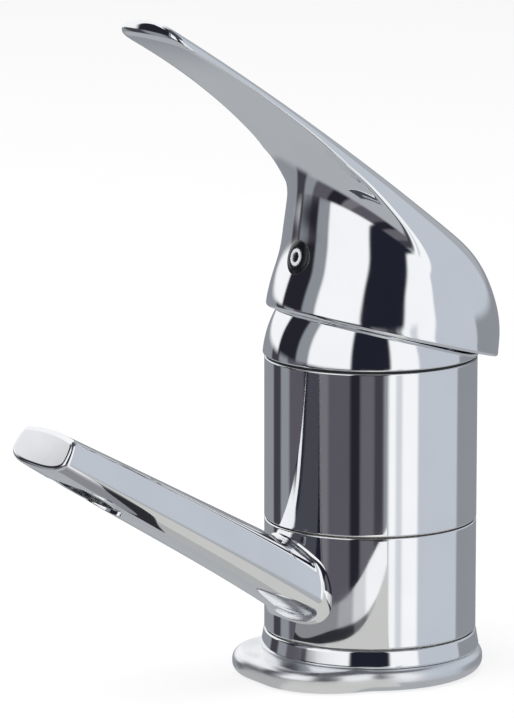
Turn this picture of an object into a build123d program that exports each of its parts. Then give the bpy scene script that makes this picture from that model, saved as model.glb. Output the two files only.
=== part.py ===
from build123d import *
import os
from math import cos, sin, radians, sqrt, hypot, tan

# Single-lever basin mixer with a low swivelling spout.
# Millimetres.  Z is up, z = 0 is the deck the tap stands on, the origin is
# the centre of the body and the spout and the lever point to -Y.

os.makedirs("parts", exist_ok=True)

# Sizes
BODY_R = 24.0
FIT = 0.05

PLATE_TOP_Z = 5.2
PLATE_R = 25.6
PLATE_HALF_WIDTH = 21.0
PLATE_FRONT = 31.6
PLATE_LOBE_LENGTH = 40.0
PLATE_CORNER_R = 17.5
PLATE_WAIST_R = 5.0
PLATE_TOP_EDGE_R = 2.2
PLATE_BOTTOM_EDGE_R = 2.4
RING_TOP_Z = 9.2
RING_TOP_R = 24.1
RING_BOTTOM_R = 24.8

COLLAR_BOTTOM_Z = 9.5
COLLAR_TOP_Z = 34.85
COLLAR_BORE_R = 17.9
COLUMN_R = 17.5
SHOULDER_Z = 35.15
SEAM_EDGE = 0.3
BODY_TOP_Z = 72.0

ANNULUS_R = 15.3
ANNULUS_Z = (18.0, 28.0)
SEAL_GROOVE_R = 15.65
SEAL_HEIGHT = 2.2
LOWER_SEAL_Z = 13.7
UPPER_SEAL_Z = 30.2
GLIDE_R = 22.5
CIRCLIP_Z = (4.0, 5.15)
CIRCLIP_R = (16.3, 19.6)
CIRCLIP_GAP = 6.0
CIRCLIP_POCKET_R = 20.0
GASKET_R = (22.2, 19.0)
GASKET_TOP_Z = 1.8

INLET_X = 7.0
INLET_Y = -5.5
INLET_THREAD_R = 4.5
INLET_THREAD_DEPTH = 12.0
INLET_BORE_R = 3.0
OUTLET_Y = 5.5
OUTLET_R = 3.2
OUTLET_BOTTOM_Z = 19.0
STUD_Y = 9.0
STUD_R = 3.4
STUD_DEPTH = 14.0

BORE_FLOOR_Z = 37.0
BORE_R = 20.2
NUT_BORE_R = 21.2
NUT_BORE_Z = 63.6

PIVOT_Z = 70.6
STEM_LEAN = 12.5
STEM_ARM = 16.4
STEM_LENGTH = 29.5
STEM_HALF = 4.0
CLEAR = 0.08
DISC_OFFSET = STEM_ARM * sin(radians(STEM_LEAN))

CAP_SPHERE_R = 24.5
CAP_INNER_R = 22.5
CAP_BOTTOM_Z = 72.6
CAP_TOP_Z = 86.4
CAP_OPENING_R = 13.5
NUT_TOP_R = 20.45

SLANT = 0.275
SLANT_Z = 78.05
HANDLE_CAVITY_R = 24.95


def tube(r_out, r_in, z0, z1):
    ring = Circle(r_out) - Circle(r_in)
    return Pos(0, 0, z0) * extrude(ring, amount=z1 - z0)


def rod(r, z0, z1, x=0.0, y=0.0):
    return Pos(x, y, z0) * extrude(Circle(r), amount=z1 - z0)


def block(x0, x1, y0, y1, z0, z1):
    centre = Pos((x0 + x1) / 2, (y0 + y1) / 2, (z0 + z1) / 2)
    return centre * Box(x1 - x0, y1 - y0, z1 - z0)


def rod_along_x(r, x0, x1, y, z):
    plane = Plane(origin=(x0, y, z), x_dir=(0, 1, 0), z_dir=(1, 0, 0))
    return extrude(plane * Circle(r), amount=x1 - x0)


def rod_along_y(r, y0, y1, x, z):
    plane = Plane(origin=(x, y0, z), x_dir=(1, 0, 0), z_dir=(0, 1, 0))
    return extrude(plane * Circle(r), amount=y1 - y0)


def save(shape, name):
    shape.label = name
    export_step(shape, "parts/" + name + ".step")


# Foot plate
# Cast foot: a disc under the body with a soft rounded lobe drawn forward, and
# a full round bead for its side.
foot_outline = Circle(PLATE_R)
foot_outline += Pos(0, PLATE_LOBE_LENGTH / 2 - PLATE_FRONT) * RectangleRounded(
    2 * PLATE_HALF_WIDTH, PLATE_LOBE_LENGTH, PLATE_CORNER_R)
waist = [v for v in foot_outline.vertices()
         if abs(hypot(v.X, v.Y) - PLATE_R) < 0.01 and v.Y < -5]
foot_outline = fillet(waist, PLATE_WAIST_R)
foot = extrude(foot_outline, amount=PLATE_TOP_Z)
foot = fillet(foot.edges().group_by(Axis.Z)[-1], PLATE_TOP_EDGE_R)
foot = fillet(foot.edges().group_by(Axis.Z)[0], PLATE_BOTTOM_EDGE_R)
foot -= rod(COLUMN_R + FIT, 0, PLATE_TOP_Z)
foot -= rod(CIRCLIP_POCKET_R, CIRCLIP_Z[0] - 0.1, PLATE_TOP_Z)
foot -= tube(GASKET_R[0] + FIT, GASKET_R[1] - FIT, 0, GASKET_TOP_Z + 0.1)
save(foot, "base_plate")
save(tube(GASKET_R[0], GASKET_R[1], 0, GASKET_TOP_Z), "base_gasket")

# Base ring
# Turned ring that widens a little towards the foot.
RING_EDGE = 0.4
ring_height = RING_TOP_Z - PLATE_TOP_Z
base_ring = Pos(0, 0, PLATE_TOP_Z + ring_height / 2) * Cone(
    RING_BOTTOM_R, RING_TOP_R, ring_height)
base_ring = chamfer(base_ring.edges().filter_by(GeomType.CIRCLE), RING_EDGE)
base_ring -= rod(COLUMN_R + FIT, PLATE_TOP_Z, RING_TOP_Z)
save(base_ring, "base_ring")

# Split spring ring that keeps the base ring and the spout on the column.
circlip = tube(CIRCLIP_R[1], CIRCLIP_R[0], CIRCLIP_Z[0], CIRCLIP_Z[1])
circlip -= block(-CIRCLIP_GAP / 2, CIRCLIP_GAP / 2, 0, CIRCLIP_R[1] + 1,
                 CIRCLIP_Z[0], CIRCLIP_Z[1])
save(circlip, "retaining_circlip")

# Valve body
# One brass casting: the column inside the spout collar and the upper
# cylinder that holds the cartridge.
body = rod(COLUMN_R, 0, SHOULDER_Z)
upper = rod(BODY_R, SHOULDER_Z, BODY_TOP_Z)
upper = chamfer(upper.edges().filter_by(GeomType.CIRCLE), SEAM_EDGE)
body += upper
body -= rod(BORE_R, BORE_FLOOR_Z, BODY_TOP_Z)
body -= rod(NUT_BORE_R, NUT_BORE_Z, BODY_TOP_Z)
body -= tube(COLUMN_R + 1, ANNULUS_R, ANNULUS_Z[0], ANNULUS_Z[1])
for seal_z in (LOWER_SEAL_Z, UPPER_SEAL_Z):
    body -= tube(COLUMN_R + 1, SEAL_GROOVE_R, seal_z - 0.05,
                 seal_z + SEAL_HEIGHT + 0.05)
body -= tube(COLUMN_R + 1, CIRCLIP_R[0] - FIT, CIRCLIP_Z[0] - FIT,
             CIRCLIP_Z[1] + FIT)
for side in (-1, 1):
    body -= rod(INLET_THREAD_R, 0, INLET_THREAD_DEPTH, side * INLET_X, INLET_Y)
    body -= rod(INLET_BORE_R, 0, BORE_FLOOR_Z, side * INLET_X, INLET_Y)
body -= rod(OUTLET_R, OUTLET_BOTTOM_Z, BORE_FLOOR_Z, 0, OUTLET_Y)
body -= rod_along_y(OUTLET_R, OUTLET_Y, COLUMN_R + 1, 0,
                    OUTLET_BOTTOM_Z + OUTLET_R + 1.0)
body -= rod(STUD_R, 0, STUD_DEPTH, 0, STUD_Y)
STOP_PIN_Z = 11.4
STOP_PIN_R = 1.2
STOP_PIN_Y = (14.5, 19.8)
body -= rod_along_y(STOP_PIN_R + 0.02, STOP_PIN_Y[0] - 0.1, COLUMN_R + 1, 0,
                    STOP_PIN_Z)
save(body, "valve_body")
save(rod_along_y(STOP_PIN_R, STOP_PIN_Y[0], STOP_PIN_Y[1], 0, STOP_PIN_Z),
     "swivel_stop_pin")

# Lip seals above and below the water annulus, square in section.
for name, seal_z in (("lower_spout_seal", LOWER_SEAL_Z),
                     ("upper_spout_seal", UPPER_SEAL_Z)):
    save(tube(COLLAR_BORE_R - FIT, SEAL_GROOVE_R + FIT, seal_z,
              seal_z + SEAL_HEIGHT), name)

# Plain slip rings that carry the spout collar.
LOWER_GLIDE_Z = (RING_TOP_Z, 9.95)
UPPER_GLIDE_Z = (34.4, 35.1)
save(tube(GLIDE_R, COLUMN_R + 0.1, LOWER_GLIDE_Z[0], LOWER_GLIDE_Z[1]),
     "lower_glide_ring")
save(tube(GLIDE_R, COLUMN_R + 0.1, UPPER_GLIDE_Z[0], UPPER_GLIDE_Z[1]),
     "upper_glide_ring")

# Spout
# Collar and spout are one casting.  The arm is lofted through upright
# sections, with a crowned top, crisp top edges and a full underside that
# arches a little on its way out.
SPOUT_Y = (-14.0, -92.0)
SPOUT_STATIONS = (0.0, 0.2, 0.4, 0.65, 1.0)
SPOUT_HALF_WIDTH = (12.87, 11.4)
SPOUT_BOTTOM_Z = (8.35, 58.7)
SPOUT_WIDE_Z = (17.7, 62.9)
SPOUT_TOP_Z = (27.0, 68.6)
SPOUT_CROWN = (1.0, 3.1)
SPOUT_ARCH = (9.0, 0.9)
SPOUT_END_Y = -86.0
SPOUT_END_RISE = 5.0
SPOUT_EDGE_INSET = 1.2
SPOUT_END_EDGE_R = 0.9
UNDERSIDE_POWER = 2.8
UNDERSIDE_TURNS = (22, 44, 66)


def between(pair, t):
    return pair[0] + (pair[1] - pair[0]) * t


def spout_section(t):
    y = between(SPOUT_Y, t)
    w = between(SPOUT_HALF_WIDTH, t)
    wide = between(SPOUT_WIDE_Z, t)
    top = between(SPOUT_TOP_Z, t)
    edge = top - SPOUT_CROWN[0] - SPOUT_CROWN[1] * (1 - t) ** 3
    arch = SPOUT_ARCH[0] * t * max(SPOUT_ARCH[1] - t, 0.0) ** 2
    low = between(SPOUT_BOTTOM_Z, t) + arch
    we = w - SPOUT_EDGE_INSET
    side = [(we, edge), (w, wide)]
    for turn in UNDERSIDE_TURNS:
        across = cos(radians(turn)) ** (2 / UNDERSIDE_POWER)
        down = sin(radians(turn)) ** (2 / UNDERSIDE_POWER)
        side.append((w * across, wide - (wide - low) * down))
    under = side + [(0, low)] + [(-x, z) for x, z in reversed(side)]
    plane = Plane(origin=(0, y, 0), x_dir=(1, 0, 0), z_dir=(0, -1, 0))
    with BuildSketch(plane) as sketch:
        with BuildLine():
            Spline([(x, z) for x, z in under])
            ThreePointArc((-we, edge), (0, top), (we, edge))
        make_face()
    return sketch.sketch


spout_rise = (SPOUT_BOTTOM_Z[1] - SPOUT_BOTTOM_Z[0]) / (SPOUT_Y[0] - SPOUT_Y[1])
under_len = hypot(1.0, spout_rise)
UNDER_Y = -1.0 / under_len
UNDER_Z = spout_rise / under_len

arm = loft([spout_section(t) for t in SPOUT_STATIONS], ruled=True)
end_z = SPOUT_BOTTOM_Z[0] + spout_rise * (SPOUT_Y[0] - SPOUT_END_Y) + SPOUT_END_RISE
end_plane = Plane(origin=(0, SPOUT_END_Y, end_z), z_dir=(0, UNDER_Y, UNDER_Z))
arm -= extrude(end_plane * Rectangle(60, 60), amount=20)
end_edges = [e for e in arm.edges()
             if abs((e.center() - end_plane.origin).dot(end_plane.z_dir)) < 0.2]
arm = fillet(end_edges, SPOUT_END_EDGE_R)

collar = rod(BODY_R, COLLAR_BOTTOM_Z, COLLAR_TOP_Z)
collar = chamfer(collar.edges().filter_by(GeomType.CIRCLE), SEAM_EDGE)
spout = collar + arm
spout -= rod(COLLAR_BORE_R, 0, COLLAR_TOP_Z + 5)
GLIDE_RECESS_R = GLIDE_R + 0.2
spout -= rod(GLIDE_RECESS_R, 0, LOWER_GLIDE_Z[1] + FIT)
spout -= rod(GLIDE_RECESS_R, UPPER_GLIDE_Z[0], SHOULDER_Z + 5)

# Curved slot for the stop pin: 60 degrees of swing to either side.
SWING = 60.0
PIN_HALF_ANGLE = 4.4
SLOT_R = 20.3
slot_height = STOP_PIN_Z + STOP_PIN_R + 0.4 - COLLAR_BOTTOM_Z
stop_slot = Pos(0, 0, COLLAR_BOTTOM_Z) * extrude(
    Circle(SLOT_R) - Circle(COLLAR_BORE_R - 1), amount=slot_height)
slot_half = radians(SWING + PIN_HALF_ANGLE)
SECTOR_R = 60.0
slot_x = SECTOR_R * sin(slot_half)
slot_y = SECTOR_R * cos(slot_half)
sector = Polyline((0, 0), (slot_x, slot_y), (0, 1.5 * SECTOR_R), (-slot_x, slot_y),
                  (0, 0))
spout -= stop_slot & extrude(make_face(sector), amount=COLLAR_TOP_Z)

# Water channel from the annulus to the aerator chamber.
CHANNEL_R = 3.8
channel_start = Vector(0, -16.0, 22.2)
channel_end = Vector(0, -70.5, 51.4)
channel_dir = channel_end - channel_start
channel_plane = Plane(origin=channel_start, z_dir=channel_dir)
spout -= extrude(channel_plane * Circle(CHANNEL_R), amount=channel_dir.length)

# Chamber for a recessed aerator, square to the underside.
AERATOR_Y = -75.2
AERATOR_R = 9.2
AERATOR_DEPTH = 8.0
aerator_z = SPOUT_BOTTOM_Z[0] + spout_rise * (SPOUT_Y[0] - AERATOR_Y)
aerator_plane = Plane(origin=(0, AERATOR_Y, aerator_z),
                      x_dir=(1, 0, 0), z_dir=(0, UNDER_Z, -UNDER_Y))


def aerator_disc(r, d0, d1):
    return extrude(aerator_plane.offset(d0) * Circle(r), amount=d1 - d0)


spout -= aerator_disc(AERATOR_R + FIT, -4.0, AERATOR_DEPTH)
save(spout, "spout")

# Housing with a lip that holds the insert and four key slots in its rim.
HOUSING_D = (0.7, 6.0)
LIP_D = HOUSING_D[0] + 1.2
LIP_R = AERATOR_R - 2.4
HOUSING_IN_R = AERATOR_R - 1.5
KEY_SLOT = (1.4, 1.6, 0.8)
housing = aerator_disc(AERATOR_R, HOUSING_D[0], HOUSING_D[1])
housing -= aerator_disc(LIP_R, HOUSING_D[0] - 1, LIP_D)
housing -= aerator_disc(HOUSING_IN_R, LIP_D, HOUSING_D[1] + 1)
for k in range(4):
    key_slot = aerator_plane.offset(HOUSING_D[0]) * (
        Rot(0, 0, 45 + 90 * k) * Pos(AERATOR_R - KEY_SLOT[0], 0)
        * Rectangle(KEY_SLOT[0], KEY_SLOT[1]))
    housing -= extrude(key_slot, amount=KEY_SLOT[2])
save(housing, "aerator_housing")

# Honeycomb that the jet leaves through.
INSERT_D = (LIP_D + FIT, HOUSING_D[0] + 4.2)
CELL_PITCH = 3.0
CELL_R = 1.2
CELL_RIM = 1.6
insert_r = HOUSING_IN_R - FIT
insert = aerator_disc(insert_r, INSERT_D[0], INSERT_D[1])
for loc in HexLocations(CELL_PITCH / 2, 5, 5):
    if hypot(loc.position.X, loc.position.Y) < insert_r - CELL_RIM:
        cell = aerator_plane.offset(HOUSING_D[0]) * (
            Pos(loc.position.X, loc.position.Y) * RegularPolygon(CELL_R, 6))
        insert -= extrude(cell, amount=AERATOR_DEPTH)
save(insert, "aerator_insert")

# Flow regulator disc with a ring of ports.
REGULATOR_PORTS = 6
PORT_RING_R = 4.4
PORT_R = 1.3
regulator = aerator_disc(insert_r, INSERT_D[1] + FIT, HOUSING_D[1] - 0.1)
for k in range(REGULATOR_PORTS):
    port = aerator_plane.offset(HOUSING_D[0]) * (
        Rot(0, 0, 360 / REGULATOR_PORTS * k) * Pos(PORT_RING_R, 0)
        * RegularPolygon(PORT_R, 6))
    regulator -= extrude(port, amount=AERATOR_DEPTH)
save(regulator, "aerator_regulator")

GASKET_HOLE_R = 6.4
GASKET_THICK = 1.0
gasket = aerator_disc(AERATOR_R - 0.1, HOUSING_D[1], HOUSING_D[1] + GASKET_THICK)
gasket -= aerator_disc(GASKET_HOLE_R, HOUSING_D[1] - 1, HOUSING_D[1] + 2 * GASKET_THICK)
save(gasket, "aerator_gasket")

# Cartridge
# Two ceramic discs in a plastic housing.  The lower disc has two inlet ports
# and one outlet port, the upper disc slides and turns on it.
BASE_Z = (37.3, 42.5)
DISC_Z = (42.5, 46.0, 49.5)
CARRIER_Z = (49.5, 54.1, 56.5)
ROTOR_Z = (54.3, 59.6, 75.0)
HOUSING_Z = (42.5, 59.75, 64.0, 75.5)
CARTRIDGE_R = 19.9
HOUSING_BORE_R = 16.7
NECK_BORE_R = 12.55
NECK_R = 14.6
ports = [(-INLET_X, INLET_Y, INLET_BORE_R), (INLET_X, INLET_Y, INLET_BORE_R),
         (0, OUTLET_Y, OUTLET_R)]
SEAL_WIDTH = 1.3
SEAL_SEAT_Z = 38.8

cartridge_base = rod(CARTRIDGE_R, BASE_Z[0], BASE_Z[1])
port_seals = []
for px, py, pr in ports:
    cartridge_base -= rod(pr, BASE_Z[0], BASE_Z[1], px, py)
    cartridge_base -= rod(pr + SEAL_WIDTH + FIT, BASE_Z[0], SEAL_SEAT_Z, px, py)
    port_seal = tube(pr + SEAL_WIDTH, pr + 0.2, BORE_FLOOR_Z, SEAL_SEAT_Z - FIT)
    port_seals.append(Pos(px, py, 0) * port_seal)
save(cartridge_base, "cartridge_base")
save(Compound(port_seals), "cartridge_port_seals")

fixed_disc = rod(HOUSING_BORE_R - 0.1, DISC_Z[0], DISC_Z[1])
for px, py, pr in ports:
    fixed_disc -= rod(pr, DISC_Z[0], DISC_Z[1], px, py)
save(fixed_disc, "fixed_ceramic_disc")

MOVING_R = 12.5
CAVITY_Y = (-2.2, 9.5)
CAVITY_HALF = 6.0
CAVITY_DEPTH = 2.0
moving_disc = rod(MOVING_R, DISC_Z[1], DISC_Z[2], 0, DISC_OFFSET)
moving_disc -= block(-CAVITY_HALF, CAVITY_HALF, DISC_OFFSET + CAVITY_Y[0],
                     DISC_OFFSET + CAVITY_Y[1], DISC_Z[1], DISC_Z[1] + CAVITY_DEPTH)
save(moving_disc, "moving_ceramic_disc")

TONGUE_HALF = 6.0
TONGUE_LENGTH = 18.0
TAIL_HALF = 3.4
BALL_R = 3.4
carrier = rod(MOVING_R, CARRIER_Z[0], CARRIER_Z[1], 0, DISC_OFFSET)
carrier += block(-TONGUE_HALF, TONGUE_HALF, DISC_OFFSET - TONGUE_LENGTH / 2,
                 DISC_OFFSET + TONGUE_LENGTH / 2, CARRIER_Z[0], CARRIER_Z[2])
carrier -= block(-TAIL_HALF - 0.3, TAIL_HALF + 0.3, DISC_OFFSET - BALL_R - CLEAR,
                 DISC_OFFSET + BALL_R + CLEAR, CARRIER_Z[0] + 0.9, CARRIER_Z[2])
save(carrier, "disc_carrier")

cartridge_housing = tube(CARTRIDGE_R, HOUSING_BORE_R, HOUSING_Z[0], HOUSING_Z[1])
cartridge_housing += tube(CARTRIDGE_R, NECK_BORE_R, HOUSING_Z[1], HOUSING_Z[2])
cartridge_housing += tube(NECK_R, NECK_BORE_R, HOUSING_Z[2], HOUSING_Z[3])
save(cartridge_housing, "cartridge_housing")

SLOT_HALF_X = STEM_HALF + 0.1
SLOT_HALF_Y = 7.6
PIN_R = 1.5
PIN_LENGTH = 24.0
TONGUE_SLOT_TOP_Z = 56.8
rotor = rod(HOUSING_BORE_R - 0.2, ROTOR_Z[0], ROTOR_Z[1])
rotor += rod(NECK_BORE_R - CLEAR, ROTOR_Z[1], ROTOR_Z[2])
rotor -= block(-TONGUE_HALF - CLEAR, TONGUE_HALF + CLEAR, -BORE_R, BORE_R,
               ROTOR_Z[0], TONGUE_SLOT_TOP_Z)
rotor -= block(-SLOT_HALF_X, SLOT_HALF_X, -SLOT_HALF_Y, SLOT_HALF_Y,
               ROTOR_Z[0], ROTOR_Z[2])
rotor -= rod_along_x(PIN_R + 0.02, -NECK_R, NECK_R, 0, PIVOT_Z)
save(rotor, "cartridge_rotor")
save(rod_along_x(PIN_R, -PIN_LENGTH / 2, PIN_LENGTH / 2, 0, PIVOT_Z),
     "spindle_pivot_pin")

# Spindle built upright about the pivot and then leaned forward to the
# closed position.
STEM_EYE_R = 4.6
STEM_END_EDGE = 0.6
TAIL_HALF_THICK = 2.8
stem = block(-STEM_HALF, STEM_HALF, -STEM_HALF, STEM_HALF, 0, STEM_LENGTH)
stem = chamfer(stem.faces().sort_by(Axis.Z)[-1].edges(), STEM_END_EDGE)
stem += rod_along_x(STEM_EYE_R, -STEM_HALF, STEM_HALF, 0, 0)
stem += block(-TAIL_HALF, TAIL_HALF, -TAIL_HALF_THICK, TAIL_HALF_THICK, -STEM_ARM, 0)
stem += rod_along_x(BALL_R, -TAIL_HALF, TAIL_HALF, 0, -STEM_ARM)
stem -= rod_along_x(PIN_R + FIT, -STEM_HALF - 1, STEM_HALF + 1, 0, 0)
lean = Pos(0, 0, PIVOT_Z) * Rot(STEM_LEAN, 0, 0)
save(lean * stem, "cartridge_spindle")

# Nut and cap
NUT_Z = (64.0, 71.4, 77.4)
NOTCH_REACH = (14.0, 18.5)
NOTCH_WIDTH = 4.0
NOTCH_DEPTH = 2.5
SEAT_RING_R = (23.7, 21.4)
nut = tube(NUT_BORE_R - 0.1, NECK_R + 0.3, NUT_Z[0], NUT_Z[1])
nut += tube(NUT_TOP_R, NECK_R + 0.3, NUT_Z[1], NUT_Z[2])
for k in range(6):
    nut -= Rot(0, 0, 60 * k) * block(NOTCH_REACH[0], NOTCH_REACH[1], -NOTCH_WIDTH / 2,
                                     NOTCH_WIDTH / 2, NUT_Z[2] - NOTCH_DEPTH, NUT_Z[2])
save(nut, "cartridge_nut")
save(tube(SEAT_RING_R[0], SEAT_RING_R[1], BODY_TOP_Z, CAP_BOTTOM_Z), "cap_seat_ring")


def sphere_r(radius, z):
    return sqrt(radius * radius - (z - PIVOT_Z) ** 2)


CAP_LIP = 1.8
cap_in_z = CAP_TOP_Z - CAP_LIP
cap_step_z = NUT_Z[2] + 0.1
mid_out_z = 80.0
mid_in_z = 81.5
with BuildPart() as cap_part:
    with BuildSketch(Plane.XZ):
        with BuildLine():
            Polyline((NUT_TOP_R + FIT, CAP_BOTTOM_Z),
                     (sphere_r(CAP_SPHERE_R, CAP_BOTTOM_Z), CAP_BOTTOM_Z))
            ThreePointArc((sphere_r(CAP_SPHERE_R, CAP_BOTTOM_Z), CAP_BOTTOM_Z),
                          (sphere_r(CAP_SPHERE_R, mid_out_z), mid_out_z),
                          (sphere_r(CAP_SPHERE_R, CAP_TOP_Z), CAP_TOP_Z))
            Polyline((sphere_r(CAP_SPHERE_R, CAP_TOP_Z), CAP_TOP_Z),
                     (CAP_OPENING_R, CAP_TOP_Z), (CAP_OPENING_R, cap_in_z),
                     (sphere_r(CAP_INNER_R, cap_in_z), cap_in_z))
            ThreePointArc((sphere_r(CAP_INNER_R, cap_in_z), cap_in_z),
                          (sphere_r(CAP_INNER_R, mid_in_z), mid_in_z),
                          (sphere_r(CAP_INNER_R, cap_step_z), cap_step_z))
            Polyline((sphere_r(CAP_INNER_R, cap_step_z), cap_step_z),
                     (NUT_TOP_R + FIT, cap_step_z), (NUT_TOP_R + FIT, CAP_BOTTOM_Z))
        make_face()
    revolve(axis=Axis.Z)
save(cap_part.part, "dome_cap")

# Handle
# Skirt: round sections parallel to the slanted rim, closing in upwards.
slant_len = hypot(1.0, SLANT)
N_Y = SLANT / slant_len
N_Z = 1.0 / slant_len
rim_plane = Plane(origin=(0, 0, SLANT_Z), x_dir=(1, 0, 0), z_dir=(0, N_Y, N_Z))
SKIRT_HEIGHTS = (0.0, 6.0, 12.0, 20.0, 30.0, 46.0)
SKIRT_NECK_R = 21.6
SKIRT_FLARE = 4.85
SKIRT_FLARE_HEIGHT = 18.5
SKIRT_SHIFT = (3.55, -0.20, -0.0016)


def skirt_radius(h):
    return SKIRT_NECK_R + SKIRT_FLARE / (1 + (h / SKIRT_FLARE_HEIGHT) ** 3)


def skirt_offset(h):
    return SKIRT_SHIFT[0] + SKIRT_SHIFT[1] * h + SKIRT_SHIFT[2] * h * h


skirt = loft([rim_plane.offset(h) * Pos(0, skirt_offset(h)) * Circle(skirt_radius(h))
              for h in SKIRT_HEIGHTS])

# Plan outline of the blade, from the body out to the blunt tip.
BLADE_BACK_Y = 3.0
BLADE_STATIONS = (BLADE_BACK_Y, -5.0, -13.0, -23.0, -36.0, -50.0)
BLADE_HALF = 17.3
BLADE_TAPER = 0.075
BLADE_ROOT = 4.6
BLADE_ROOT_LENGTH = 12.0
TIP_Y = -59.8
TIP_BEND = 0.008
TIP_CORNER_R = 4.5


def blade_half_width(y):
    root = BLADE_ROOT / (1 + ((BLADE_BACK_Y - y) / BLADE_ROOT_LENGTH) ** 2)
    return BLADE_HALF + BLADE_TAPER * y + root


side_points = [(blade_half_width(y), y) for y in BLADE_STATIONS]
other_points = [(-x, y) for x, y in side_points]
tip_x = blade_half_width(TIP_Y)
tip_corner_y = TIP_Y + TIP_BEND * tip_x * tip_x
with BuildPart() as blade_part:
    with BuildSketch(Plane.XY.offset(100)) as blade_plan:
        with BuildLine():
            Spline(side_points)
            Line(side_points[-1], (tip_x, tip_corner_y))
            ThreePointArc((tip_x, tip_corner_y), (0, TIP_Y), (-tip_x, tip_corner_y))
            Line((-tip_x, tip_corner_y), other_points[-1])
            Spline(other_points)
            Line(other_points[0], side_points[0])
        make_face()
        fillet(blade_plan.vertices().group_by(Axis.Y)[0], TIP_CORNER_R)
    extrude(amount=60)
blade = blade_part.part

# Top surface of the blade and the body: nearly straight along the middle,
# crowned across, and rolled over towards the wall of the skirt.
TOP_Z0 = 112.6
TOP_SLOPE = 0.730
TOP_BEND = 0.0010
CROWN = (0.0150, 0.00009)
RIM_Y = 4.4
ROLL_START = 12.0
ROLL_R = 24.0
ROLL_DROP = 8.0
ROLL_MAX = 26.0
ROLL_Y = (-24.0, 0.0)
EDGE_DROP = 0.9


def smooth(t):
    t = min(max(t, 0.0), 1.0)
    return t * t * (3 - 2 * t)


def top_z(x, y):
    middle = TOP_Z0 - TOP_SLOPE * y - TOP_BEND * y * y
    crown = (CROWN[0] + CROWN[1] * y) * x * x
    share = smooth((y - ROLL_Y[0]) / (ROLL_Y[1] - ROLL_Y[0]))
    if y > RIM_Y:
        rho = hypot(x, y - RIM_Y)
    else:
        half = ROLL_R - 0.0135 * (y - RIM_Y) ** 2
        rho = abs(x) * ROLL_R / max(half, 8.0)
    rolled = max(min(rho, ROLL_MAX) - ROLL_START, 0.0) / (ROLL_R - ROLL_START)
    roll = ROLL_DROP * rolled ** 4
    if rho > ROLL_MAX:
        slope = 4 * ROLL_DROP * rolled ** 3 / (ROLL_R - ROLL_START)
        roll += slope * (rho - ROLL_MAX)
    edge = EDGE_DROP * (x / (18.8 + 0.105 * y)) ** 6
    return middle - crown - roll * share - min(edge, 6.0) * (1 - share)


GRID_X = [-27 + 1.5 * k for k in range(37)]
GRID_Y = [-66 + 1.5 * k for k in range(66)]
top_points = [[Vector(x, y, top_z(x, y)) for x in GRID_X] for y in GRID_Y]
top_face = Face.make_surface_from_array_of_points(top_points, tol=0.02, max_deg=3)
under_top = extrude(top_face, amount=110, dir=(0, 0, -1))

# Underside of the blade with the cove that runs down to the skirt.
UNDER = (102.9, -0.9885, -0.0044)
COVE_Z = 110.0
COVE = 9.0
WALL_R = 22.6
WALL_Y = 4.9


def under_z(x, y):
    plane_z = UNDER[0] + UNDER[1] * y + UNDER[2] * y * y
    d = hypot(x, y - WALL_Y) - WALL_R
    if d >= COVE:
        return plane_z
    t = d / COVE
    slope = 2.0 * (plane_z - COVE_Z) / COVE
    if t < 0:
        return COVE_Z + max(slope, 0.3) * d
    return plane_z - (plane_z - COVE_Z) * (1 - t) ** 2


COVE_X = [-24 + 2.0 * k for k in range(25)]
COVE_Y = [-64 + 2.0 * k for k in range(35)]
under_points = [[Vector(x, y, under_z(x, y)) for x in COVE_X] for y in COVE_Y]
under_face = Face.make_surface_from_array_of_points(under_points, tol=0.01, max_deg=3)
over_under = extrude(under_face, amount=60, dir=(0, 0, 1))

handle = (skirt + (blade & over_under)) & under_top

# Hollow: a ball-shaped cavity round the pivot, a clearance cone at the rim
# and a core pocket behind the stem boss.
hollow = Pos(0, 0, PIVOT_Z) * Sphere(HANDLE_CAVITY_R)
CONE_R = (25.35, 21.0)
CONE_HEIGHT = 13.0
CONE_TOP_OFFSET = 1.2
POCKET_YZ = ((3.5, 88), (18.5, 82), (19.5, 92.5), (3.5, 102.5), (3.5, 88))
POCKET_HALF = 11.0
cone_low = rim_plane.offset(-0.5) * Pos(0, skirt_offset(0)) * Circle(CONE_R[0])
cone_high = rim_plane.offset(CONE_HEIGHT) * Pos(0, CONE_TOP_OFFSET) * Circle(CONE_R[1])
hollow += loft([cone_low, cone_high])
hollow += extrude(Plane.YZ * make_face(Polyline(*POCKET_YZ)), amount=POCKET_HALF,
                  both=True)
handle -= hollow

# Boss and square socket on the leaning line of the spindle.
BOSS_R = 7.6
BOSS_REACH = (17.8, 27.0)
handle += lean * rod(BOSS_R, BOSS_REACH[0], BOSS_REACH[1])
socket_half = STEM_HALF + FIT
handle -= lean * block(-socket_half, socket_half, -socket_half, socket_half,
                       BOSS_REACH[0] - CLEAR - 5, STEM_LENGTH + 0.4)

# Screw bore through the front wall, with the grub screw behind the plug.
SCREW_Z = 96.0
SCREW_R = 2.0
SCREW_LENGTH = 6.0
KEY_R = 1.1
KEY_DEPTH = 2.2
PLUG_R = 4.0
PLUG_DEPTH = 3.0
PLUG_PROUD = 0.1
PLUG_EDGE = 0.3
PLUG_LEAN = 13.2
WALL_FRONT_Y = -20.45
handle -= rod_along_y(SCREW_R + FIT, WALL_FRONT_Y - 5, -6, 0, SCREW_Z)
plug_plane = Plane(origin=(0, WALL_FRONT_Y, SCREW_Z), x_dir=(1, 0, 0),
                   z_dir=(0, -cos(radians(PLUG_LEAN)), -sin(radians(PLUG_LEAN))))
handle -= extrude(plug_plane.offset(-PLUG_DEPTH) * Circle(PLUG_R + FIT),
                  amount=PLUG_DEPTH + 5)
save(handle, "handle")

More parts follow.
